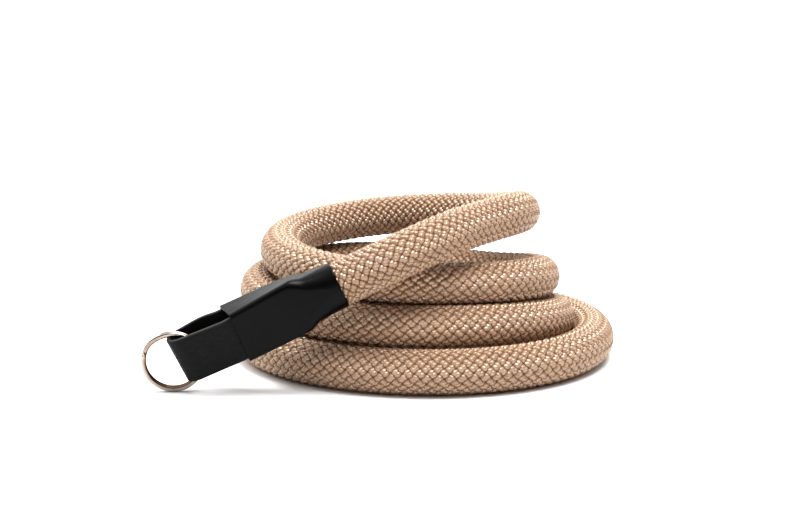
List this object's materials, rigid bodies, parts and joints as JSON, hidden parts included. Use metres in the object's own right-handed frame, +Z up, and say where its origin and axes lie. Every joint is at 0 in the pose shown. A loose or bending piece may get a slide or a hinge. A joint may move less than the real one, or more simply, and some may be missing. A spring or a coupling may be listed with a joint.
{
  "type": "camera neck strap",
  "caption": "Coiled camera neck strap of braided rope, with a black sleeve, a leather loop and a split ring at each end.",
  "frame": {"origin": "middle of the bounding box's footprint, on the surface the strap lies on", "axes": "+Z up; the front sleeve and its ring point towards -X; the top end of the rope crosses the coil on the -Y side"},
  "size_m": [0.1204, 0.1069, 0.0452],
  "materials": {
    "braided_cord": "woven, slight sheen",
    "sleeve_vinyl": "satin black",
    "loop_leather": "matte black with fine grain",
    "ring_steel": "polished nickel"
  },
  "bodies": {
    "root": {"rope": "braided_cord", "sleeve_front": "sleeve_vinyl", "sleeve_back": "sleeve_vinyl", "loop_front": "loop_leather", "loop_back": "loop_leather"},
    "ring_front": {"ring_front": "ring_steel"},
    "ring_back": {"ring_back": "ring_steel"}
  },
  "joints": [
    {"name": "ring_front_swing", "type": "hinge", "parent": "root", "child": "ring_front", "pos_m": [-0.04892, -0.0464, 0.00948], "axis": [0.4158, 0.1564, -0.8959], "range_deg": [-35, 35]},
    {"name": "ring_back_swing", "type": "hinge", "parent": "root", "child": "ring_back", "pos_m": [-0.02875, 0.0458, 0.0049], "axis": [0, 1, 0], "range_deg": [-16, 54]}
  ]
}
